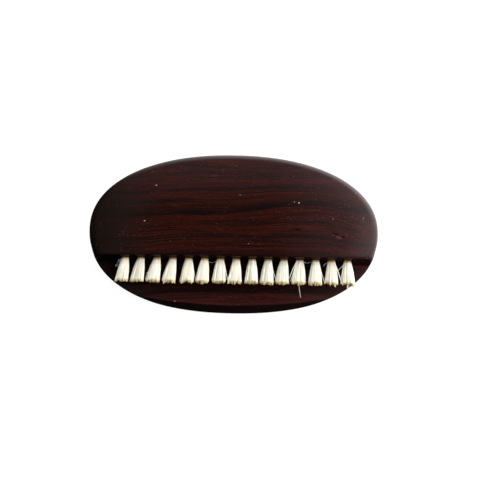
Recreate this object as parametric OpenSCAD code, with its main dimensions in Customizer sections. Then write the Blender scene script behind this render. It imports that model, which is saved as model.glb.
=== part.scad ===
// Oval beard brush. A hardwood block carries one row of bristle tufts that stand out of a
// step in its front. A hardwood guard plate is glued behind the block and shields the tufts.
// Origin: centre of the flat back face. +X runs along the length, +Y points away from the
// bristle tips and +Z points out of the front face. Millimetres.

/* [Body] */
// Length of the oval body
body_length = 100; // [96:1:110]
// Width of the oval body
body_width = 54.8; // [52:0.2:58]
// Thickness from the back face to the front face
body_thickness = 20; // [19:0.5:22]
// Fullness of the oval, where 2 is a plain ellipse
oval_power = 2.18; // [2:0.01:2.5]
// Radius of the front edge
front_edge_radius = 2.4; // [1.5:0.1:2.6]
// Fall of the crowned front face from its middle to its edge
crown_drop = 2.4; // [1.5:0.1:2.6]
// Distance from the edge over which the front face falls
crown_width = 18; // [14:1:20]
// Radius of the back edge
back_edge_radius = 7; // [4:0.5:8]

/* [Guard] */
// Thickness of the guard plate
guard_thickness = 8.5; // [8.5:0.5:9]
// Width of the bevel under the ledge, at the middle of the brush
bevel_width = 2.8; // [1:0.1:3]
// Radius of the ledge's lower edge, seen from the front
bevel_arc_radius = 195; // [180:1:260]
// Slope of the bevel, measured from upright
bevel_slope = 26; // [15:1:45]

/* [Step] */
// Distance of the step from the middle of the oval
step_offset = 9.6; // [8:0.1:11]
// Radius of the step's front edge
step_edge_radius = 0.5; // [0.4:0.1:1.5]

/* [Bristles] */
// Number of tufts in the row
tuft_count = 15; // [9:1:15]
// Distance between neighbouring tufts
tuft_pitch = 5.5; // [5.3:0.1:5.6]
// Distance of the row's middle from the brush's middle
row_shift = 1.1; // [0:0.1:1.2]
// Height of the tufts' axes above the back face
tuft_height = 13.9; // [13:0.1:14.5]
// Diameter of a tuft's hole
hole_diameter = 3.2; // [2.8:0.1:3.4]
// Depth of a tuft's hole
hole_depth = 8; // [7:0.5:10]
// Length of bristle that stands out of the hole
bristle_length = 8; // [6:0.1:9]
// Diameter of a tuft at its tip
tip_diameter = 5; // [4:0.1:5]

/* [Anchors] */
// Width of the flat wire staple that holds a tuft
anchor_width = 4.2; // [3.8:0.1:4.6]
// Thickness of the staple
anchor_thickness = 0.4; // [0.3:0.05:0.6]
// Length of the staple along the hole
anchor_length = 1.8; // [1.2:0.1:2.2]
// Turn of the staple across the wood's grain
anchor_turn = 45; // [0:5:90]

/* [Hidden] */
outline_points = 96;
edge_steps = 5;
crown_steps = 5;
// How late the crowned face falls towards its edge
crown_power = 3;
round_fn = 48;
// Clearance of a tuft's root in its hole
root_clearance = 0.05;
// Bristle folded under the staple
fold_depth = 0.7;
// Sideways lean of a tuft's tip at the left end, in the middle and at the right end
lean_left = -1.2;
lean_middle = -0.3;
lean_right = 0.6;
// Overlap of a cutting shape past the face that it cuts
over = 1;

step_y = -step_offset;
hole_end_y = step_y + hole_depth;
anchor_y = hole_end_y - fold_depth - anchor_length / 2;
root_radius = hole_diameter / 2 - root_clearance;

function two_digits(i) = str(i < 9 ? "0" : "", i + 1);
function tuft_name(i) = str("tuft_", two_digits(i));
function anchor_name(i) = str("anchor_", two_digits(i));
tuft_indices = [0:tuft_count - 1];

// Place of tuft i along the row, and the sideways lean of its tip
function tuft_x(i) = row_shift + (i - (tuft_count - 1) / 2) * tuft_pitch;
function along_row(i) = 2 * i / (tuft_count - 1) - 1;
function tuft_lean(i) = along_row(i) < 0
    ? lean_middle + (lean_left - lean_middle) * -along_row(i)
    : lean_middle + (lean_right - lean_middle) * along_row(i);

// One point of the superellipse, drawn in by inset, at height z
function signed_power(v, p) = sign(v) * pow(abs(v), p);
function oval_point(angle, inset, z) = [
    (body_length / 2 - inset) * signed_power(cos(angle), 2 / oval_power),
    (body_width / 2 - inset) * signed_power(sin(angle), 2 / oval_power),
    z
];

// Height of the crowned front face at a distance inset from the oval's edge
function front_height(inset) = body_thickness - crown_drop * pow(1 - inset / crown_width, crown_power);

// Insets and heights of the rings that round off the front edge, cross the crown, and
// round off the back edge
function front_edge(r) = [
    for (k = [0:edge_steps])
        let (a = 90 * k / edge_steps, inset = r * (1 - cos(a)))
            [inset, front_height(inset) - r * (1 - sin(a))]
];
function crown(r) = [
    for (k = [1:crown_steps])
        let (inset = r + (crown_width - r) * k / crown_steps)
            [inset, front_height(inset)]
];
function back_edge(r) = [
    for (k = [0:edge_steps])
        let (a = 90 * k / edge_steps)
            [r * (1 - sin(a)), r * (1 - cos(a))]
];

// Solid through a stack of oval rings, each given as [inset, height], from the lowest up
module oval_stack(rings) {
    n = outline_points;
    last = len(rings) - 1;
    points = [
        for (ring = rings) for (i = [0:n - 1]) oval_point(360 * i / n, ring[0], ring[1])
    ];
    sides = [
        for (r = [0:last - 1]) for (i = [0:n - 1])
            let (a = r * n + i, b = r * n + (i + 1) % n)
                for (face = [[a, a + n, b], [b, a + n, b + n]]) face
    ];
    bottom = [for (i = [0:n - 1]) i];
    top = [for (i = [0:n - 1]) last * n + n - 1 - i];
    polyhedron(points, concat([bottom], sides, [top]));
}

// Everything in front of the step, with the step's front edge rounded off
module step_cutter() {
    r = step_edge_radius;
    far = -body_width;
    high = body_thickness + over;
    profile = concat(
        [[far, 0], [step_y, 0]],
        [
            for (k = [0:edge_steps]) let (a = 90 * k / edge_steps)
                [step_y + r * (1 - cos(a)), body_thickness - r + r * sin(a)]
        ],
        [[step_y + r, high], [far, high]]
    );
    rotate([90, 0, 90])
        linear_extrude(body_length + 2 * over, center = true)
            polygon(profile);
}

// Solid cylinder along Y from y_from to y_to on the axis of tuft i
module row_cylinder(i, radius, y_from, y_to) {
    translate([tuft_x(i), y_to, tuft_height])
        rotate([90, 0, 0])
            cylinder(h = y_to - y_from, r = radius, $fn = round_fn);
}

module staple(i) {
    translate([tuft_x(i), anchor_y, tuft_height])
        rotate([0, anchor_turn, 0])
            cube([anchor_width, anchor_length, anchor_thickness], center = true);
}

// Front block: a rounded oval cut back to the step, drilled and slit for each tuft
module bristle_block() {
    r = front_edge_radius;
    rings = concat([[0, guard_thickness]], front_edge(r), crown(r));
    color("#3a1a18")
        difference() {
            oval_stack(rings);
            step_cutter();
            for (i = tuft_indices) {
                row_cylinder(i, hole_diameter / 2, step_y - over, hole_end_y);
                staple(i);
            }
        }
}

// Guard plate: a pebble-backed oval whose ledge is bevelled along a shallow arc
module guard_plate() {
    r = bevel_arc_radius / cos(bevel_slope);
    ledge_edge_y = bevel_width - body_width / 2;
    rings = concat(back_edge(back_edge_radius), [[0, guard_thickness]]);
    color("#2e1413")
        intersection() {
            oval_stack(rings);
            translate([
                0,
                ledge_edge_y + r * cos(bevel_slope),
                guard_thickness - r * sin(bevel_slope)
            ])
                rotate([-bevel_slope, 0, 0])
                    cylinder(h = 4 * body_length, r = r, center = true, $fn = 360);
        }
}

// One tuft: its root fills the hole around the staple and its bristles flare to the tip
module tuft(i) {
    tilt = atan(tuft_lean(i) / bristle_length);
    flare_start = 0.8;
    color("#efe3c4")
        difference() {
            union() {
                row_cylinder(i, root_radius, step_y, hole_end_y);
                translate([tuft_x(i), step_y, tuft_height])
                    rotate([90, 0, tilt])
                        translate([0, 0, -flare_start])
                            cylinder(
                                h = bristle_length + flare_start,
                                r1 = root_radius - 0.2,
                                r2 = tip_diameter / 2,
                                $fn = round_fn
                            );
            }
            staple(i);
        }
}

module anchor(i) {
    color("#b9b4a6") staple(i);
}

bristle_block();
guard_plate();
for (i = tuft_indices) {
    tuft(i);
    anchor(i);
}
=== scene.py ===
"""Beard brush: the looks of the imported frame.

The wooden block and the guard plate are replaced by dense smooth meshes of the same shape, and
each tuft by a bundle of bristles doubled over its staple. Lengths are in millimetres in the
code and become metres in the meshes. The frame is the CAD's: the flat back lies on z = 0, the
bristle tips point to -Y and the front face looks to +Z.
"""
import math
import random

import bmesh
import bpy
from mathutils import Matrix, Vector


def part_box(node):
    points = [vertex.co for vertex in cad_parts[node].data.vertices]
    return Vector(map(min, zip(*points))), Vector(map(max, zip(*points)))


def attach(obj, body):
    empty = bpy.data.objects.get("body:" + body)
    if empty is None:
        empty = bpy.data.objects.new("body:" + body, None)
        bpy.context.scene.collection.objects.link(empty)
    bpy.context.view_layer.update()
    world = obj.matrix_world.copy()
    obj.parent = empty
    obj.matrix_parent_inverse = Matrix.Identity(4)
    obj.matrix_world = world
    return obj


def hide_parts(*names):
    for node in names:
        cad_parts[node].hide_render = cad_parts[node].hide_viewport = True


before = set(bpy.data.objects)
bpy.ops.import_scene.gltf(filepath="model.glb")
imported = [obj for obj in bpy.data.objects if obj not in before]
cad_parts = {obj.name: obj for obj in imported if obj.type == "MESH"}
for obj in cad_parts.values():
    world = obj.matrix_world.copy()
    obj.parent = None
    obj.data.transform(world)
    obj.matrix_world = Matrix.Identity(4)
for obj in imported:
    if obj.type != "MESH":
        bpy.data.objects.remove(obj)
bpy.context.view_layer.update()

MM = 0.001
ROOT = "root"
TUFTS = sorted(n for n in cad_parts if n.startswith("tuft_"))
ANCHORS = sorted(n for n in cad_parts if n.startswith("anchor_"))


def box_mm(node):
    """Lowest and highest corner of a CAD node, in millimetres."""
    low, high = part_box(node)
    return Vector(low) / MM, Vector(high) / MM


# ---------------------------------------------------------------- sizes from the frame

block_low, block_high = box_mm("bristle_block")
_, guard_high = box_mm("guard_plate")
HALF_LENGTH = block_high.x
HALF_WIDTH = block_high.y
THICKNESS = block_high.z
GUARD_TOP = guard_high.z
STEP_Y = block_low.y

# Shape of the wood, as in the CAD
OVAL_POWER = 2.18
FRONT_RADIUS = 2.4
CROWN_DROP = 2.4
CROWN_WIDTH = 18.0
CROWN_POWER = 3
STEP_RADIUS = 0.5
BACK_RADIUS = 7.0
BEVEL_WIDTH = 2.8
BEVEL_ARC_RADIUS = 195.0
BEVEL_SLOPE = math.radians(26)

# Holes and staples, as in the CAD
HOLE_RADIUS = 1.6
HOLE_DEPTH = 8.0
BRISTLE_LENGTH = 8.0
ANCHOR_TURN = math.radians(45)
# Radius of a tuft's root in its hole
ROOT_RADIUS = 1.5


# ---------------------------------------------------------------- small helpers

def smooth(x, low, high):
    """0 below low, 1 above high, and a smooth curve between them."""
    t = min(max((x - low) / (high - low), 0.0), 1.0)
    return t * t * (3 - 2 * t)


def mix(a, b, t):
    return a + (b - a) * t


def signed_power(v, p):
    return math.copysign(abs(v) ** p, v)


def oval(angle, inset=0.0):
    """A point of the superellipse drawn in by inset. angle is in radians."""
    p = 2 / OVAL_POWER
    return (
        (HALF_LENGTH - inset) * signed_power(math.cos(angle), p),
        (HALF_WIDTH - inset) * signed_power(math.sin(angle), p),
    )


def oval_inset(x, y):
    """How far inside the oval's edge a point lies, by the same rule as oval()."""
    low, high = -5.0, HALF_WIDTH - 0.01
    for _ in range(40):
        mid = (low + high) / 2
        reach = abs(x / (HALF_LENGTH - mid)) ** OVAL_POWER + abs(y / (HALF_WIDTH - mid)) ** OVAL_POWER
        low, high = (mid, high) if reach < 1 else (low, mid)
    return max(low, 0.0)


def crown_height(inset):
    """Height of the crowned front face."""
    return THICKNESS - CROWN_DROP * max(1 - inset / CROWN_WIDTH, 0.0) ** CROWN_POWER


def mesh_object(name, bm, material, sharp_degrees=35.0):
    """Turns a bmesh in millimetres into an object in metres, smooth except at sharp edges."""
    bmesh.ops.recalc_face_normals(bm, faces=bm.faces)
    for face in bm.faces:
        face.smooth = True
    for edge in bm.edges:
        if len(edge.link_faces) == 2 and edge.calc_face_angle(0.0) > math.radians(sharp_degrees):
            edge.smooth = False
    bmesh.ops.scale(bm, vec=(MM, MM, MM), verts=bm.verts)
    mesh = bpy.data.meshes.new(name)
    bm.to_mesh(mesh)
    bm.free()
    mesh.materials.append(material)
    obj = bpy.data.objects.new(name, mesh)
    bpy.context.scene.collection.objects.link(obj)
    return obj


def bridge(bm, ring_a, ring_b):
    """Quads between two closed rings of vertices of the same length."""
    n = len(ring_a)
    for i in range(n):
        j = (i + 1) % n
        bm.faces.new((ring_a[i], ring_a[j], ring_b[j], ring_b[i]))


def add_ring(bm, points):
    return [bm.verts.new(p) for p in points]


def finish_piece(obj, slot, *nodes):
    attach(obj, ROOT)
    if nodes:
        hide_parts(*nodes)
    return obj


# ---------------------------------------------------------------- shader helpers

class Nodes:
    """A short way to write a material's node tree."""

    def __init__(self, name):
        self.material = bpy.data.materials.new(name)
        self.material.use_nodes = True
        self.tree = self.material.node_tree
        self.shader = self.tree.nodes["Principled BSDF"]

    def add(self, kind, **settings):
        node = self.tree.nodes.new(kind)
        for key, value in settings.items():
            setattr(node, key, value)
        return node

    def put(self, value, socket):
        """Sets a socket from a number, a colour or another socket."""
        if isinstance(value, bpy.types.NodeSocket):
            self.tree.links.new(value, socket)
        else:
            socket.default_value = value

    def math(self, operation, a, b=0.0, clamp=False):
        node = self.add("ShaderNodeMath", operation=operation, use_clamp=clamp)
        for value, socket in zip((a, b), node.inputs):
            self.put(value, socket)
        return node.outputs[0]

    def plus(self, a, b):
        return self.math("ADD", a, b)

    def minus(self, a, b):
        return self.math("SUBTRACT", a, b)

    def times(self, a, b):
        return self.math("MULTIPLY", a, b)

    def spread(self, value, low, high, to_low=0.0, to_high=1.0):
        """Maps low..high smoothly to to_low..to_high."""
        node = self.add("ShaderNodeMapRange", interpolation_type="SMOOTHSTEP")
        for v, socket in zip((value, low, high, to_low, to_high), node.inputs):
            self.put(v, socket)
        return node.outputs[0]

    def blend(self, factor, a, b, mode="MIX"):
        node = self.add("ShaderNodeMix", data_type="RGBA", blend_type=mode)
        self.put(factor, node.inputs["Factor"])
        self.put(a, node.inputs[6])
        self.put(b, node.inputs[7])
        return node.outputs[2]

    def place(self):
        """x, y and z of the frame, in millimetres."""
        where = self.add("ShaderNodeTexCoord").outputs["Object"]
        scaled = self.add("ShaderNodeVectorMath", operation="SCALE")
        self.put(where, scaled.inputs[0])
        scaled.inputs["Scale"].default_value = 1 / MM
        split = self.add("ShaderNodeSeparateXYZ")
        self.put(scaled.outputs[0], split.inputs[0])
        return split.outputs[0], split.outputs[1], split.outputs[2]

    def vector(self, x, y, z):
        node = self.add("ShaderNodeCombineXYZ")
        for value, socket in zip((x, y, z), node.inputs):
            self.put(value, socket)
        return node.outputs[0]

    def noise(self, vector, scale=1.0, detail=3.0, roughness=0.5):
        node = self.add("ShaderNodeTexNoise")
        self.put(vector, node.inputs["Vector"])
        node.inputs["Scale"].default_value = scale
        node.inputs["Detail"].default_value = detail
        node.inputs["Roughness"].default_value = roughness
        return node.outputs[0]

    def cells(self, vector, scale=1.0):
        """Distance to the nearest point of an uneven scatter."""
        node = self.add("ShaderNodeTexVoronoi")
        self.put(vector, node.inputs["Vector"])
        node.inputs["Scale"].default_value = scale
        return node.outputs["Distance"]

    def set(self, **values):
        """Values of the main shader, by socket name with underscores for spaces."""
        for key, value in values.items():
            self.put(value, self.shader.inputs[key.replace("_", " ")])

    def bump(self, height, strength, distance_mm):
        node = self.add("ShaderNodeBump")
        self.put(height, node.inputs["Height"])
        node.inputs["Strength"].default_value = strength
        node.inputs["Distance"].default_value = distance_mm * MM
        self.put(node.outputs[0], self.shader.inputs["Normal"])


# ---------------------------------------------------------------- wood

# Dark growth lines: distance from the main line, width of the fade above it and strength.
# The lines follow one shallow curve along the length.
BLOCK_LINES = (
    (13.8, 3.0, 0.60),
    (8.2, 2.6, 0.75),
    (0.0, 4.2, 1.00),
    (-8.3, 2.2, 0.85),
    (-14.2, 2.4, 0.80),
)
# The guard's lines are grain, except the last two, which are painted shade: the tufts' shadow on the
# ledge below their tips, and the shade on the downward-facing bevel.
GUARD_LINES_AND_SHADE = (
    (4.0, 4.0, 0.70),
    (-3.5, 3.0, 0.80),
    (-12.0, 4.0, 0.80),
    (-21.5, 3.0, 0.80),
    # Painted shadow of the tufts on the ledge below their tips
    (-29.3, 4.2, 0.95),
    # Painted shade on the bevel
    (-39.0, 5.6, 1.00),
)

SPECK = (0.42, 0.32, 0.28, 1)
BLACK = (0.0012, 0.0009, 0.0009, 1)
ROSE = (0.060, 0.018, 0.013, 1)
# Painted shade for the left end, which lies away from the lamps
LEFT_SHADE = (0.0070, 0.0050, 0.0042, 1)
# Painted sheen: pale colour laid where the lamps' reflection and light would show
PAINTED_SHEEN = (0.0175, 0.012, 0.013, 1)
PORE = (0.0016, 0.0011, 0.0010, 1)
MINERAL = (0.30, 0.22, 0.19, 1)
DUST = (0.22, 0.13, 0.11, 1)

# Single marks: x, y, half length, half width, turn in degrees, strength and colour
BLOCK_MARKS = (
    (35.1, -1.2, 1.6, 0.30, -28, 0.75, BLACK),
    (37.9, -2.2, 0.6, 0.36, -8, 0.80, BLACK),
    (36.2, -2.5, 1.2, 0.50, -22, 0.75, ROSE),
    (39.0, -1.4, 1.1, 0.34, -36, 0.40, ROSE),
    (-27.1, 15.1, 0.21, 0.20, 0, 0.80, SPECK),
    (-30.8, 2.3, 0.30, 0.17, 12, 0.75, SPECK),
    (2.1, 12.1, 0.17, 0.15, 0, 0.50, SPECK),
    (22.4, 9.6, 0.22, 0.21, 0, 1.00, SPECK),
    (20.8, 9.9, 0.16, 0.16, 0, 0.70, SPECK),
    (44.6, 4.8, 0.21, 0.16, 0, 0.60, SPECK),
    (34.3, 4.1, 0.17, 0.16, 0, 0.50, SPECK),
    (5.3, -5.2, 0.17, 0.15, 0, 0.50, SPECK),
    (-7.0, 18.8, 1.6, 0.26, 4, 0.35, ROSE),
)
GUARD_MARKS = (
    (-20.0, -23.5, 0.19, 0.15, 0, 0.80, SPECK),
)

# How far the grain shifts across for each millimetre of depth
GRAIN_SLOPE = 0.35
# Strength of the polish on open faces and inside the step
POLISH = 0.40
THIN_POLISH = 0.12


def grain_distance(m, x, y, z, seed):
    """How far across the grain a point lies. The grain rises from the left end, swells right
    of the middle and falls again, most strongly along the main line."""
    rise = m.plus(m.spread(x, -45.0, -10.0, 3.0, 5.0), m.spread(x, 28.0, 50.0, 0.0, -3.0))
    swell = m.spread(m.math("ABSOLUTE", m.minus(y, 8.0)), 1.0, 11.0, 3.6, 0.2)
    curve = m.plus(rise, m.times(m.spread(x, -12.0, 27.0), swell))
    wander = m.noise(m.vector(m.times(x, 0.035), m.times(y, 0.05), seed), detail=2.0)
    wander = m.times(m.minus(wander, 0.5), 1.4)
    depth = m.minus(m.times(z, GRAIN_SLOPE), GRAIN_SLOPE * THICKNESS)
    return m.plus(m.minus(m.minus(y, curve), wander), depth)


def growth_lines(m, x, y, z, across, lines, seed):
    """Dark lines that fade in from above and end sharply below."""
    ragged = m.noise(m.vector(m.times(x, 0.22), m.times(y, 1.6), m.plus(z, seed)), detail=4.0)
    edge = m.plus(across, m.times(m.minus(ragged, 0.5), 1.1))
    growth = 0.0
    for offset, width, strength in lines:
        below = m.spread(edge, offset - 0.45, offset + 0.35)
        above = m.spread(edge, offset + 0.3, offset + width, 1.0, 0.0)
        growth = m.math("MAXIMUM", m.times(m.times(below, above), strength), growth)
    fade = m.noise(m.vector(m.times(x, 0.05), m.times(y, 0.12), seed + 3.0), detail=2.0)
    return m.times(growth, m.spread(fade, 0.30, 0.55, 0.6, 1.0))


def pore_mask(m, x, y, z):
    """Short slots along the grain, in patches."""
    slots = m.cells(m.vector(m.times(x, 0.42), m.times(y, 3.2), m.times(z, 3.2)))
    patches = m.noise(m.vector(m.times(x, 0.3), y, z), scale=0.8, detail=1.0)
    return m.times(m.spread(slots, 0.13, 0.24, 1.0, 0.0), m.spread(patches, 0.46, 0.60))


def add_painted_sheen(m, x, y, tone):
    """Painted sheen: a pale veil standing for the lamps' reflection towards the right end and the
    upper edge, and painted light on the ledge's outer edge, beyond the tufts' shadow.
    """
    sheen = m.plus(m.spread(x, 10.0, 42.0, 0.0, 0.45), m.spread(y, 5.0, 24.0, 0.0, 0.30))
    sheen = m.plus(sheen, m.spread(y, -18.0, -23.0, 0.0, 0.08))
    return m.blend(sheen, tone, PAINTED_SHEEN, mode="ADD")


def paint_bevel_shade(m, y, z, tone, dark):
    """Painted shade on the bevel, which faces down, away from the lamps."""
    shaded_side = m.times(m.spread(y, -17.0, -21.0), m.spread(z, 1.5, 4.0))
    shaded_bevel = m.times(shaded_side, m.spread(z, GUARD_TOP - 0.15, GUARD_TOP - 0.45))
    return m.blend(m.times(shaded_bevel, 0.65), tone, dark)


def add_specks(m, x, y, z, tone):
    """Light mineral specks: many faint and very small, a few larger."""
    specks = m.spread(m.cells(m.vector(x, m.times(y, 1.2), z), scale=0.22), 0.012, 0.035, 1.0, 0.0)
    tone = m.blend(m.times(specks, 0.5), tone, MINERAL)
    dust = m.cells(m.vector(x, m.times(y, 1.3), m.plus(z, 40.0)), scale=0.75)
    dust = m.spread(dust, 0.06, 0.13, 1.0, 0.0)
    dusty = m.spread(m.noise(m.vector(x, y, z), scale=0.11, detail=1.0), 0.42, 0.62)
    return m.blend(m.times(m.times(dust, dusty), 0.35), tone, DUST)


def add_marks(m, x, y, fine, tone, marks):
    """Soft ellipses with edges that the fine grain makes uneven."""
    for centre_x, centre_y, long, short, turn, strength, colour in marks:
        cos_turn, sin_turn = math.cos(math.radians(turn)), math.sin(math.radians(turn))
        dx = m.plus(m.minus(x, centre_x), m.times(m.minus(fine, 0.5), 1.2))
        dy = m.minus(y, centre_y)
        u = m.plus(m.times(dx, cos_turn / long), m.times(dy, sin_turn / long))
        v = m.minus(m.times(dy, cos_turn / short), m.times(dx, sin_turn / short))
        reach = m.plus(m.times(u, u), m.times(v, v))
        tone = m.blend(m.spread(reach, 0.3, 1.3, strength, 0.0), tone, colour)
    return tone


def block_polish(m, y):
    """Thin inside the step, worn off its edge, and full elsewhere."""
    edge_start = m.spread(y, STEP_Y + 0.01, STEP_Y + 0.03)
    edge_end = m.spread(y, STEP_Y + 0.5, STEP_Y + 1.5, 1.0, 0.0)
    worn = m.minus(1.0, m.times(edge_start, edge_end))
    return m.times(m.spread(y, STEP_Y + 0.01, STEP_Y + 0.03, THIN_POLISH, POLISH), worn)


def guard_polish(m, z):
    """Thin on the ledge and full elsewhere."""
    return m.spread(z, GUARD_TOP - 0.6, GUARD_TOP - 0.1, POLISH, THIN_POLISH)


def wood_material(name, lines, seed, red, dark, marks, on_block):
    """Dark oiled rosewood with its grain along X. red holds its four reds, in the order in
    which they are laid over each other."""
    m = Nodes(name)
    x, y, z = m.place()
    across = grain_distance(m, x, y, z, seed)
    growth = growth_lines(m, x, y, z, across, lines, seed)

    def fibres(along, over, offset, detail=3.0):
        """Noise that is long along X. A greater over makes finer fibres."""
        depth = m.plus(m.times(z, over * 0.7), offset + seed)
        where = m.vector(m.times(x, along), m.times(across, over), depth)
        return m.noise(where, detail=detail, roughness=0.65)

    broad = fibres(0.014, 0.30, 0.0)
    streaks = fibres(0.022, 1.1, 7.0)
    fine = fibres(0.060, 4.0, 13.0, detail=5.0)
    flecks = fibres(0.50, 4.5, 23.0)

    tone = m.blend(m.spread(streaks, 0.40, 0.60), red[0], red[1])
    tone = m.blend(m.spread(broad, 0.42, 0.62, 0.0, 0.6), tone, red[2])
    tone = m.blend(m.spread(fine, 0.50, 0.64, 0.0, 0.42), tone, red[3])
    tone = m.blend(m.spread(flecks, 0.56, 0.68, 0.0, 0.90), tone, red[3])
    shade = m.math("MAXIMUM", growth, m.spread(broad, 0.44, 0.30, 0.0, 0.45))
    shade = m.math("MAXIMUM", shade, m.spread(streaks, 0.46, 0.36, 0.0, 0.42))
    shade = m.math("ADD", shade, m.spread(fine, 0.49, 0.38, 0.0, 0.40), clamp=True)
    tone = m.blend(m.times(shade, 0.92), tone, dark)
    # Painted shade: the left end is darkened, unevenly along the broad grain
    left_shade = m.plus(x, m.times(m.minus(broad, 0.5), 30.0))
    tone = m.blend(m.spread(left_shade, -24.0, -44.0, 0.0, 0.8), tone, LEFT_SHADE)

    # Painted sheen towards the right end and upper edge, and painted light on the ledge's outer edge
    tone = add_painted_sheen(m, x, y, tone)
    # Painted shade on the guard's downward-facing bevel
    if not on_block:
        tone = paint_bevel_shade(m, y, z, tone, dark)
    pores = pore_mask(m, x, y, z)
    tone = m.blend(m.times(pores, 0.65), tone, PORE)
    tone = add_specks(m, x, y, z, tone)
    tone = add_marks(m, x, y, fine, tone, marks)

    gloss = m.noise(m.vector(m.times(x, 0.15), m.times(y, 0.6), z))
    m.set(
        Base_Color=tone,
        Roughness=m.spread(gloss, 0.3, 0.7, 0.40, 0.52),
        IOR=1.45,
        Specular_IOR_Level=0.0,
        Coat_Weight=block_polish(m, y) if on_block else guard_polish(m, z),
        Coat_Roughness=0.12,
        Coat_IOR=1.45,
    )
    relief = m.plus(m.times(fine, 0.5), m.times(streaks, 0.35))
    m.bump(m.minus(relief, m.times(pores, 0.6)), 0.35, 0.08)
    return m.material


# ---------------------------------------------------------------- bristles and metal

def bristle_material():
    """Cream bristle: dark amber at the root as painted shade under the step's edge, nearly white
    along the middle, straw at the cut tips.
    """
    m = Nodes("bristle")
    _, y, _ = m.place()
    out = m.math("DIVIDE", m.minus(STEP_Y, y), BRISTLE_LENGTH)
    own = m.add("ShaderNodeNewGeometry").outputs["Random Per Island"]
    cream = m.blend(own, (0.91, 0.83, 0.66, 1), (0.93, 0.89, 0.77, 1))
    shaded_amber = m.blend(own, (0.50, 0.20, 0.03, 1), (0.72, 0.42, 0.12, 1))
    straw = m.blend(own, (0.55, 0.30, 0.05, 1), (0.98, 0.86, 0.50, 1))
    # Painted shade: the roots turn dark amber next to the step
    tone = m.blend(m.spread(out, 0.0, 0.10), shaded_amber, cream)
    cut = m.times(m.spread(out, 0.93, 0.98), m.spread(out, 1.08, 1.14, 1.0, 0.0))
    tone = m.blend(m.times(cut, 0.9), tone, straw)
    m.set(
        Base_Color=tone,
        Roughness=0.42,
        Specular_IOR_Level=0.3,
        Subsurface_Weight=0.5,
        Subsurface_Radius=(1.0, 0.8, 0.5),
        Subsurface_Scale=0.0004,
    )
    return m.material


def steel_material():
    """Drawn flat wire, a little dull."""
    m = Nodes("anchor_steel")
    x, y, z = m.place()
    drawn = m.noise(m.vector(m.times(x, 4.0), m.times(y, 30.0), m.times(z, 4.0)), detail=2.0)
    m.set(
        Base_Color=m.blend(drawn, (0.42, 0.40, 0.37, 1), (0.62, 0.60, 0.56, 1)),
        Metallic=1.0,
        Roughness=m.spread(drawn, 0.3, 0.7, 0.30, 0.45),
    )
    return m.material


def floor_material():
    """A plain white table that gives off its own light and so stays even."""
    m = Nodes("floor")
    m.set(Base_Color=(0.10, 0.10, 0.10, 1), Roughness=1.0, Specular_IOR_Level=0.0)
    m.set(Emission_Color=(1, 1, 1, 1), Emission_Strength=0.97)
    return m.material


# ---------------------------------------------------------------- the front block

ARC_POINTS = 220
FILLET_STEPS = 10
FACE_STEPS = 30
# Heights of the rings on the block's side
SIDE_LEVELS = (9.8, 11.4, 13.0, 14.2)
# Small chamfer at the foot, which shows as the seam between block and guard
FOOT_CHAMFER = 0.12
# Distance from the ends of the step over which its small edge takes over from the oval's
EDGE_CHANGE = 5.0
# Width of the strip that is left to close in the middle of the face
LAST_STRIP = 0.2


def block_ring(inset, step_inset, height):
    """Points of a D-shaped ring: the oval's arc from right to left, then the step's line
    back. height(x, y, inset, inside) gives z, where inside is 0 on the arc and at both ends
    of the line, and 1 well along the line."""
    line_y = STEP_Y + step_inset
    half = HALF_WIDTH - inset
    start = -math.asin(min(1.0, (abs(line_y) / half) ** (OVAL_POWER / 2)))
    points = []
    for i in range(ARC_POINTS):
        angle = mix(start, math.pi - start, i / (ARC_POINTS - 1))
        x, y = oval(angle, inset)
        points.append((x, y, height(x, y, inset, 0.0)))
    x_end = points[-1][0]
    for i in range(1, ARC_POINTS - 1):
        x = mix(x_end, -x_end, i / (ARC_POINTS - 1))
        inside = smooth(abs(x_end) - abs(x), 0.0, EDGE_CHANGE)
        points.append((x, line_y, height(x, line_y, oval_inset(x, line_y), inside)))
    return points


def build_block(material):
    """The drilled front block."""
    blank = build_blank(material)
    drills = build_drills(material)
    cut = blank.modifiers.new("holes", "BOOLEAN")
    cut.operation = "DIFFERENCE"
    cut.solver = "EXACT"
    cut.object = drills
    bpy.context.view_layer.update()
    graph = bpy.context.evaluated_depsgraph_get()
    drilled = bpy.data.meshes.new_from_object(blank.evaluated_get(graph))
    bm = bmesh.new()
    bm.from_mesh(drilled)
    bmesh.ops.scale(bm, vec=(1 / MM, 1 / MM, 1 / MM), verts=bm.verts)
    bpy.data.objects.remove(blank)
    bpy.data.objects.remove(drills)
    return mesh_object("block", bm, material)


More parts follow.
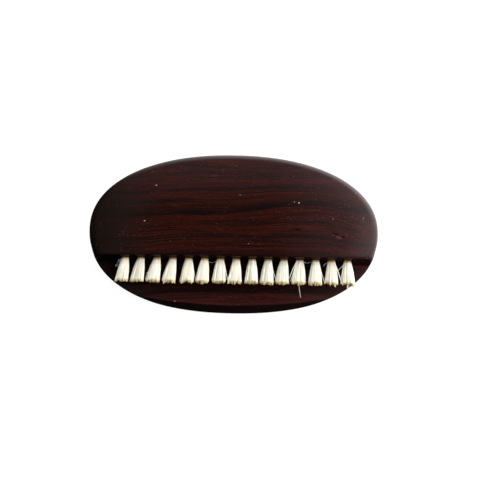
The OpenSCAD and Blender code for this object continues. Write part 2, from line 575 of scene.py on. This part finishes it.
def build_blank(material):
    """The block before its holes are drilled."""
    rings = []

    def flat(level):
        return lambda x, y, inset, inside: level

    rings.append(block_ring(FOOT_CHAMFER, FOOT_CHAMFER, flat(GUARD_TOP)))
    rings.append(block_ring(0.0, 0.0, flat(GUARD_TOP + FOOT_CHAMFER)))
    for level in SIDE_LEVELS:
        rings.append(block_ring(0.0, 0.0, flat(level)))
    for k in range(FILLET_STEPS + 1):
        a = math.radians(90 * k / FILLET_STEPS)
        fall = 1 - math.sin(a)

        def rounded(x, y, inset, inside, fall=fall):
            return crown_height(inset) - fall * mix(FRONT_RADIUS, STEP_RADIUS, inside)

        draw_in = 1 - math.cos(a)
        rings.append(block_ring(FRONT_RADIUS * draw_in, STEP_RADIUS * draw_in, rounded))

    def face(x, y, inset, inside):
        return crown_height(oval_inset(x, y))

    for k in range(1, FACE_STEPS + 1):
        t = (k / FACE_STEPS) ** 1.5
        inset = mix(FRONT_RADIUS, HALF_WIDTH - LAST_STRIP, t)
        step_inset = mix(STEP_RADIUS, -STEP_Y - LAST_STRIP, t)
        rings.append(block_ring(inset, step_inset, face))

    bm = bmesh.new()
    made = [add_ring(bm, r) for r in rings]
    for lower, upper in zip(made, made[1:]):
        bridge(bm, lower, upper)
    close_middle(bm, made[-1], ARC_POINTS)
    bm.faces.new(reversed(made[0]))
    return mesh_object("block_blank", bm, material)


def close_middle(bm, ring, arc_points):
    """Closes the last thin ring: its arc is joined to its straight side with quads."""
    arc = ring[:arc_points]
    side = [arc[-1]] + ring[arc_points:] + [arc[0]]
    side.reverse()
    for i in range(len(arc) - 1):
        corners = []
        for v in (arc[i], arc[i + 1], side[i + 1], side[i]):
            if v not in corners:
                corners.append(v)
        if len(corners) > 2:
            bm.faces.new(corners)


def tuft_axis(node):
    """x and z of a tuft's hole, in millimetres, from its staple."""
    low, high = box_mm(node.replace("tuft", "anchor"))
    return (low.x + high.x) / 2, (low.z + high.z) / 2


def build_drills(material):
    """One closed cutter for each hole, with a small countersink at the mouth."""
    bm = bmesh.new()
    sides = 32
    chamfer = 0.18
    past = 0.5
    profile = (
        (STEP_Y - past, HOLE_RADIUS + chamfer + past),
        (STEP_Y, HOLE_RADIUS + chamfer),
        (STEP_Y + chamfer, HOLE_RADIUS),
        (STEP_Y + HOLE_DEPTH, HOLE_RADIUS),
    )
    turns = [2 * math.pi * i / sides for i in range(sides)]
    for node in TUFTS:
        cx, cz = tuft_axis(node)
        rings = []
        for y, r in profile:
            circle = [(cx + r * math.cos(a), y, cz + r * math.sin(a)) for a in turns]
            rings.append(add_ring(bm, circle))
        for a, b in zip(rings, rings[1:]):
            bridge(bm, a, b)
        bm.faces.new(rings[0])
        bm.faces.new(reversed(rings[-1]))
    return mesh_object("drills", bm, material)


# ---------------------------------------------------------------- the guard plate

GUARD_POINTS = 360
BACK_STEPS = 32
# Small round of the guard's upper edge and its steps
GUARD_EDGE = 0.22
GUARD_EDGE_STEPS = 5
# How softly the bevel runs out into the side
BEVEL_SOFTNESS = 0.22


def guard_point(angle, z, inset):
    """A point of the guard's side. The bevel draws the lower side in near the ledge."""
    x, y = oval(angle, inset)
    if y > 0:
        return x, y, z
    outline_x, _ = oval(angle)
    ledge_y = -(HALF_WIDTH - BEVEL_WIDTH) + outline_x ** 2 / (2 * BEVEL_ARC_RADIUS)
    limit = ledge_y - (GUARD_TOP - z) * math.tan(BEVEL_SLOPE)
    # A soft maximum of limit and y
    lead = (limit - y) / BEVEL_SOFTNESS
    lift = BEVEL_SOFTNESS * (math.log1p(math.exp(-abs(lead))) + max(lead, 0.0))
    return x, y + lift * smooth(lead, -4.0, 0.0), z


def build_guard(material):
    """The pebble-backed guard plate with its bevelled ledge."""
    levels = []
    for k in range(BACK_STEPS + 1):
        a = math.radians(90 * k / BACK_STEPS)
        levels.append((BACK_RADIUS * (1 - math.sin(a)), BACK_RADIUS * (1 - math.cos(a))))
    for k in range(1, 3):
        levels.append((0.0, mix(BACK_RADIUS, GUARD_TOP - GUARD_EDGE, k / 2)))
    for k in range(1, GUARD_EDGE_STEPS + 1):
        a = math.radians(90 * k / GUARD_EDGE_STEPS)
        levels.append((GUARD_EDGE * (1 - math.cos(a)), GUARD_TOP - GUARD_EDGE * (1 - math.sin(a))))

    bm = bmesh.new()
    angles = [2 * math.pi * i / GUARD_POINTS for i in range(GUARD_POINTS)]
    rings = [add_ring(bm, [guard_point(a, z, inset) for a in angles]) for inset, z in levels]
    for lower, upper in zip(rings, rings[1:]):
        bridge(bm, lower, upper)

    def shrunk(ring, shrink, level):
        return add_ring(bm, [(v.co.x * shrink, v.co.y * shrink, level) for v in ring])

    top = rings[-1]
    for shrink in (0.985, 0.94, 0.85, 0.7):
        inner = shrunk(rings[-1], shrink, GUARD_TOP)
        bridge(bm, top, inner)
        top = inner
    bm.faces.new(top)
    bottom = rings[0]
    for shrink in (0.97, 0.85):
        inner = shrunk(rings[0], shrink, 0.0)
        bridge(bm, inner, bottom)
        bottom = inner
    bm.faces.new(list(reversed(bottom)))
    return mesh_object("guard", bm, material)


# ---------------------------------------------------------------- tufts

FIBRES = 130
FIBRE_SIDES = 5
FIBRE_RADIUS = 0.10
# Radius of the bundle in its hole and at the hole's mouth
BUNDLE_RADIUS = ROOT_RADIUS * 0.97
MOUTH_RADIUS = ROOT_RADIUS * 0.80
# Part of the bristle's length over which the mouth's gather wears off
GATHER_LENGTH = 0.45
# Points along the part of a fibre that stands out, and how they crowd towards the root
LEG_POINTS = 10
ROOT_CROWDING = 1.4
FLARE_POWER = 1.05
# Width of a tuft's tip against the CAD's, so that its loose bristles stay inside
TIP_GATHER = 0.94
# The tip is a little flatter than it is wide
TIP_FLATNESS = 0.66
# Bundles across a tuft's width that end at about the same length
CLUMPS = 11
# Share of fibres that stand a little apart
LOOSE_SHARE = 0.03
# Least distance of a fibre from the bundle's middle plane, outside and beside the staple, as
# a part of the bundle's radius
LEAST_OFF = 0.10
LEAST_OFF_STAPLE = 0.23
# The fibres run straight from a little below the staple
STAPLE_GAP = 0.2
# Radius of the thickest strays
THICK_STRAY = 0.15

# Sideways lean of each tuft's tip
LEANS = (-1.2, -1.3, -1.4, -1.3, -0.6, -0.8, -0.4, -0.5, -0.3, -0.4, -0.5, -0.4, 0.0, 0.0, 0.5)

# Stray bristles: tuft, then start, middle and end as sideways, outward and upward distances
# from the middle of the tuft's mouth, then the radius
STRAYS = (
    (1, (-1.2, 0.5, 0.6), (-2.3, 1.2, 0.8), (-3.2, 3.2, 0.4), 0.035),
    (1, (-1.3, 0.4, 0.3), (-2.3, 1.9, 0.4), (-2.8, 3.0, 0.2), 0.03),
    (3, (-1.8, 4.6, 1.0), (-2.7, 5.2, 1.1), (-3.6, 5.5, 1.0), 0.07),
    (5, (1.5, 3.0, 1.2), (2.0, 5.0, 1.2), (2.5, 7.2, 1.0), 0.08),
    (6, (1.2, 1.0, 0.8), (2.6, 1.3, 0.9), (4.0, 0.9, 0.8), 0.025),
    (7, (1.4, 1.5, 1.0), (1.9, 4.2, 1.2), (2.6, 7.4, 1.0), 0.11),
    (8, (-1.4, 3.0, 1.0), (-2.1, 5.2, 1.0), (-3.2, 7.3, 0.8), 0.09),
    (8, (-1.2, 2.0, 1.2), (-1.8, 5.0, 1.2), (-2.8, 8.1, 1.0), 0.09),
    (10, (1.3, 2.0, 1.0), (2.0, 4.6, 1.0), (2.9, 7.2, 0.8), 0.09),
    (12, (-0.9, 0.1, 1.2), (-2.2, 2.8, 1.6), (-3.6, 6.6, 1.4), 0.11),
    (12, (-0.8, 0.2, 1.3), (-1.9, 3.6, 1.8), (-3.1, 7.6, 1.6), 0.11),
    (12, (-0.2, 6.0, -0.8), (-0.1, 9.0, -1.2), (0.5, 12.4, -2.6), 0.07),
    (12, (1.2, 0.4, 0.8), (2.4, 0.9, 1.0), (3.9, 0.5, 0.9), 0.035),
    (13, (1.4, 2.5, 1.0), (2.2, 5.0, 1.2), (3.0, 7.6, 1.0), 0.09),
    (14, (0.7, 0.4, 1.2), (1.9, 3.1, 1.5), (3.6, 8.2, 1.2), THICK_STRAY),
    (14, (-1.3, 0.7, 1.0), (-2.1, 1.1, 1.2), (-2.8, 2.0, 1.0), 0.035),
    (15, (-1.2, 1.4, 1.4), (-2.2, 2.4, 1.7), (-3.3, 3.5, 1.5), 0.07),
    (15, (0.0, 6.5, 0.2), (0.0, 8.6, -0.2), (0.2, 10.2, -0.6), THICK_STRAY),
    (15, (0.4, 6.5, 0.0), (0.5, 8.6, -0.3), (0.7, 10.0, -0.6), THICK_STRAY),
)


def fibre_tube(bm, path, radii):
    """A closed tube of FIBRE_SIDES sides along path, with one ring at each point."""
    rings = []
    side = None
    for i, p in enumerate(path):
        ahead = path[min(i + 1, len(path) - 1)] - path[max(i - 1, 0)]
        ahead.normalize()
        if side is None:
            side = ahead.orthogonal().normalized()
        side = (side - ahead * side.dot(ahead)).normalized()
        other = ahead.cross(side)
        ring = []
        for k in range(FIBRE_SIDES):
            a = 2 * math.pi * k / FIBRE_SIDES
            ring.append(p + (side * math.cos(a) + other * math.sin(a)) * radii[i])
        rings.append(add_ring(bm, ring))
    for a, b in zip(rings, rings[1:]):
        bridge(bm, a, b)
    bm.faces.new(reversed(rings[0]))
    bm.faces.new(rings[-1])


def disc_point(i, rng):
    """Evenly spread points in a unit disc, by the sunflower rule, slightly disturbed."""
    r = math.sqrt((i + 0.5) / FIBRES)
    a = i * math.radians(137.508) + rng.uniform(-0.15, 0.15)
    return r * math.cos(a), r * math.sin(a)


def beside_staple(along, off):
    """x and z from a hole's axis of a point that lies along the staple's width and off its
    flat side."""
    x = along * math.cos(ANCHOR_TURN) + off * math.sin(ANCHOR_TURN)
    z = off * math.cos(ANCHOR_TURN) - along * math.sin(ANCHOR_TURN)
    return x, z


# In the next three functions u and w place a fibre in its bundle, side is 1 or -1 for its
# two halves, and x and z of the points are taken from the hole's axis.

def outer_half(rng, u, w, side, clump, tip_radius, lean):
    """The part of a half that stands out of the hole, from its tip to the mouth. clump is
    how much longer and wider its clump is."""
    longer, wider = clump
    spread = 1 + rng.gauss(0, 0.035) + wider * 0.5
    if rng.random() < LOOSE_SHARE:
        spread += rng.uniform(0.06, 0.16)
    tip_x = (u * spread + rng.gauss(0, 0.03)) * tip_radius + lean
    tip_z = side * (w * spread + rng.gauss(0, 0.03)) * tip_radius * TIP_FLATNESS
    length = BRISTLE_LENGTH + longer + rng.gauss(0, 0.20) + 0.1 * u * u - 0.3 * w * w
    bend = rng.gauss(0, 0.06)
    points = []
    for k in range(LEG_POINTS):
        t = (k / (LEG_POINTS - 1)) ** ROOT_CROWDING
        radius = mix(MOUTH_RADIUS, BUNDLE_RADIUS, smooth(t, 0.0, GATHER_LENGTH))
        flare = t ** FLARE_POWER
        belly = bend * math.sin(math.pi * t)
        x = mix(u * radius, tip_x, flare) + belly
        z = mix(side * w * radius, tip_z, flare) + belly * 0.4
        points.append(Vector((x, STEP_Y - length * t, z)))
    points.reverse()
    return points


def held_half(u, w, side, off, staple_low, staple_high):
    """The part of a half in the hole, from the mouth to the far edge of the staple."""
    x, z = beside_staple(u * BUNDLE_RADIUS, side * off)
    entry_y = mix(STEP_Y, staple_low.y, 0.3)
    return [
        Vector((u * BUNDLE_RADIUS, entry_y, side * w * BUNDLE_RADIUS)),
        Vector((x, staple_low.y - STAPLE_GAP, z)),
        Vector((x, staple_high.y, z)),
    ]


def fold(u, w, off, staple_high):
    """The bend that takes a fibre over the staple's far edge to its other half."""
    depth = 0.15 + 0.4 * w
    points = []
    for k in range(1, 4):
        a = math.pi * k / 4
        x, z = beside_staple(u * BUNDLE_RADIUS, off * math.cos(a))
        points.append(Vector((x, staple_high.y + depth * math.sin(a), z)))
    return points


def build_tuft(node, material):
    """One tuft: fibres doubled over the staple, whose two ends stand out of the hole."""
    rng = random.Random(node)
    number = int(node[-2:])
    low, high = box_mm(node)
    staple_low, staple_high = box_mm(node.replace("tuft", "anchor"))
    cx, cz = tuft_axis(node)
    axis = Vector((cx, 0.0, cz))
    tip_radius = (high.z - low.z) / 2 * TIP_GATHER
    clumps = [(rng.gauss(0, 0.24), rng.gauss(0, 0.025)) for _ in range(CLUMPS)]
    bm = bmesh.new()
    for i in range(FIBRES):
        u, w = disc_point(i, rng)
        w = max(abs(w), LEAST_OFF)
        off = max(w, LEAST_OFF_STAPLE) * BUNDLE_RADIUS
        clump = clumps[min(int((u + 1) / 2 * CLUMPS), CLUMPS - 1)]
        halves = []
        for side in (1, -1):
            outer = outer_half(rng, u, w, side, clump, tip_radius, LEANS[number - 1])
            halves.append(outer + held_half(u, w, side, off, staple_low, staple_high))
        halves[1].reverse()
        path = [axis + p for p in halves[0] + fold(u, w, off, staple_high) + halves[1]]
        last = len(path) - 1
        taper = [min(k / 4, (last - k) / 4, 1.0) for k in range(last + 1)]
        fibre_tube(bm, path, [FIBRE_RADIUS * mix(0.75, 1.0, t) for t in taper])
    for stray in STRAYS:
        if stray[0] == number:
            build_stray(bm, cx, cz, stray)
    return mesh_object(node.replace("tuft", "bristles"), bm, material, sharp_degrees=80)


def build_stray(bm, cx, cz, stray):
    """A bristle that has come out of its tuft, on a curve through three points."""
    start, middle, end = (Vector((cx + p[0], STEP_Y - p[1], cz + p[2])) for p in stray[1:4])
    control = middle * 2 - (start + end) / 2
    steps = 12
    path = []
    for k in range(steps + 1):
        t = k / steps
        path.append(start * (1 - t) ** 2 + control * (2 * t * (1 - t)) + end * t ** 2)
    radius = stray[4]
    radii = [radius * mix(1.0, 0.7, k / steps) for k in range(steps + 1)]
    fibre_tube(bm, path, radii)


# ---------------------------------------------------------------- stage, lights and camera

FLOOR_REACH = 4000.0
# The floor lies this far below the brush, in metres, so that the two faces don't flicker
FLOOR_DROP = 0.00005

# Lamps: distance and size in metres, and the point they face
LAMP_DISTANCE = 0.60
LAMP_AIM = Vector((0, 0, 0.01))


def build_floor(material):
    bm = bmesh.new()
    signs = ((-1, -1), (1, -1), (1, 1), (-1, 1))
    corners = [(sx * FLOOR_REACH, sy * FLOOR_REACH, 0.0) for sx, sy in signs]
    bm.faces.new(add_ring(bm, corners))
    floor = mesh_object("floor", bm, material)
    floor.location.z = -FLOOR_DROP
    floor.visible_glossy = False
    floor.visible_diffuse = False
    floor.visible_shadow = False


def area_light(name, azimuth, elevation, size, power, colour=(1, 1, 1)):
    """A softbox that shows in no reflection. azimuth 0 is +X and 90 is +Y, in degrees."""
    data = bpy.data.lights.new(name, "AREA")
    data.shape = "RECTANGLE"
    data.size, data.size_y = size
    data.energy = power
    data.color = colour
    light = bpy.data.objects.new(name, data)
    a, e = math.radians(azimuth), math.radians(elevation)
    out = Vector((math.cos(a) * math.cos(e), math.sin(a) * math.cos(e), math.sin(e)))
    light.location = LAMP_AIM + out * LAMP_DISTANCE
    light.rotation_mode = "QUATERNION"
    light.rotation_quaternion = out.to_track_quat("Z", "Y")
    light.visible_glossy = False
    bpy.context.scene.collection.objects.link(light)


def build_lights():
    area_light("key", 5, 52, (0.45, 0.40), 4.4, colour=(1.0, 0.98, 0.94))
    area_light("top", 80, 74, (0.40, 0.40), 1.9)
    area_light("front", -88, 65, (0.40, 0.20), 0.2)
    build_world()


def build_world():
    """A dim studio with a pale wall on the right, a pale, low backdrop behind and a little
    light at and below the horizon."""
    world = bpy.data.worlds.new("studio")
    world.use_nodes = True
    tree = world.node_tree
    split = tree.nodes.new("ShaderNodeSeparateXYZ")
    tree.links.new(tree.nodes.new("ShaderNodeTexCoord").outputs["Generated"], split.inputs[0])

    def ramp(source, low, high, to_low, to_high):
        node = tree.nodes.new("ShaderNodeMapRange")
        node.interpolation_type = "SMOOTHSTEP"
        tree.links.new(source, node.inputs[0])
        for value, socket in zip((low, high, to_low, to_high), node.inputs[1:5]):
            socket.default_value = value
        return node.outputs[0]

    def combine(operation, a, b):
        node = tree.nodes.new("ShaderNodeMath")
        node.operation = operation
        tree.links.new(a, node.inputs[0])
        tree.links.new(b, node.inputs[1])
        return node.outputs[0]

    x, y, z = split.outputs[:3]
    wall = ramp(x, 0.05, 0.85, 0.0, 3.0)
    wall = combine("MULTIPLY", wall, ramp(y, -0.55, 0.10, 0.0, 1.0))
    backdrop = ramp(y, 0.12, 0.90, 0.0, 3.2)
    backdrop = combine("MULTIPLY", backdrop, ramp(x, -0.55, 0.10, 0.0, 1.0))
    low = ramp(z, 0.00, 0.65, 1.0, 0.12)
    total = combine("ADD", wall, combine("MULTIPLY", backdrop, low))
    total = combine("ADD", total, ramp(z, 0.05, 0.55, 0.05, 0.0))
    tree.nodes["Background"].inputs["Color"].default_value = (1, 1, 1, 1)
    tree.links.new(total, tree.nodes["Background"].inputs["Strength"])
    bpy.context.scene.world = world


def build_camera():
    """Looks down at the front face from 13 degrees below its axis, with a long lens."""
    tilt, roll = math.radians(13.0), math.radians(0.985)
    lens, sensor = 180.0, 36.0
    # Width of the picture at the aim, in metres
    frame_width = 0.1676
    data = bpy.data.cameras.new("camera")
    data.lens, data.sensor_width = lens, sensor
    data.clip_start, data.clip_end = 0.01, 10.0
    camera = bpy.data.objects.new("camera", data)
    back = Vector((0, -math.sin(tilt), math.cos(tilt)))
    up = Vector((0, math.cos(tilt), math.sin(tilt)))
    right = Vector((1, 0, 0))
    rolled_up = up * math.cos(roll) - right * math.sin(roll)
    rolled_right = right * math.cos(roll) + up * math.sin(roll)
    aim = Vector((0.00225, -0.00141, 0.009))
    distance = frame_width * lens / sensor
    rotation = Matrix((rolled_right, rolled_up, back)).transposed()
    camera.matrix_world = Matrix.Translation(aim + back * distance) @ rotation.to_4x4()
    bpy.context.scene.collection.objects.link(camera)
    bpy.context.scene.camera = camera


# ---------------------------------------------------------------- assembly

build_camera()
build_lights()
build_floor(floor_material())

block_wood = wood_material(
    "block_wood",
    BLOCK_LINES,
    seed=2.0,
    red=(
        (0.0062, 0.0018, 0.0013, 1),
        (0.0160, 0.0026, 0.0014, 1),
        (0.0120, 0.0026, 0.0014, 1),
        (0.0380, 0.0068, 0.0048, 1),
    ),
    dark=(0.0024, 0.0018, 0.0020, 1),
    marks=BLOCK_MARKS,
    on_block=True,
)
guard_wood = wood_material(
    "guard_wood",
    GUARD_LINES_AND_SHADE,
    seed=9.0,
    red=(
        (0.0070, 0.0021, 0.0018, 1),
        (0.0215, 0.0036, 0.0030, 1),
        (0.0160, 0.0032, 0.0024, 1),
        (0.0430, 0.0090, 0.0080, 1),
    ),
    dark=(0.0028, 0.0018, 0.0019, 1),
    marks=GUARD_MARKS,
    on_block=False,
)
finish_piece(build_block(block_wood), "block_wood", "bristle_block")
finish_piece(build_guard(guard_wood), "guard_wood", "guard_plate")

bristle = bristle_material()
for tuft in TUFTS:
    finish_piece(build_tuft(tuft, bristle), "bristle", tuft)

steel = steel_material()
for anchor in ANCHORS:
    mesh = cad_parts[anchor].data
    mesh.materials.clear()
    mesh.materials.append(steel)

bpy.context.scene.view_settings.view_transform = "Standard"
bpy.context.view_layer.update()
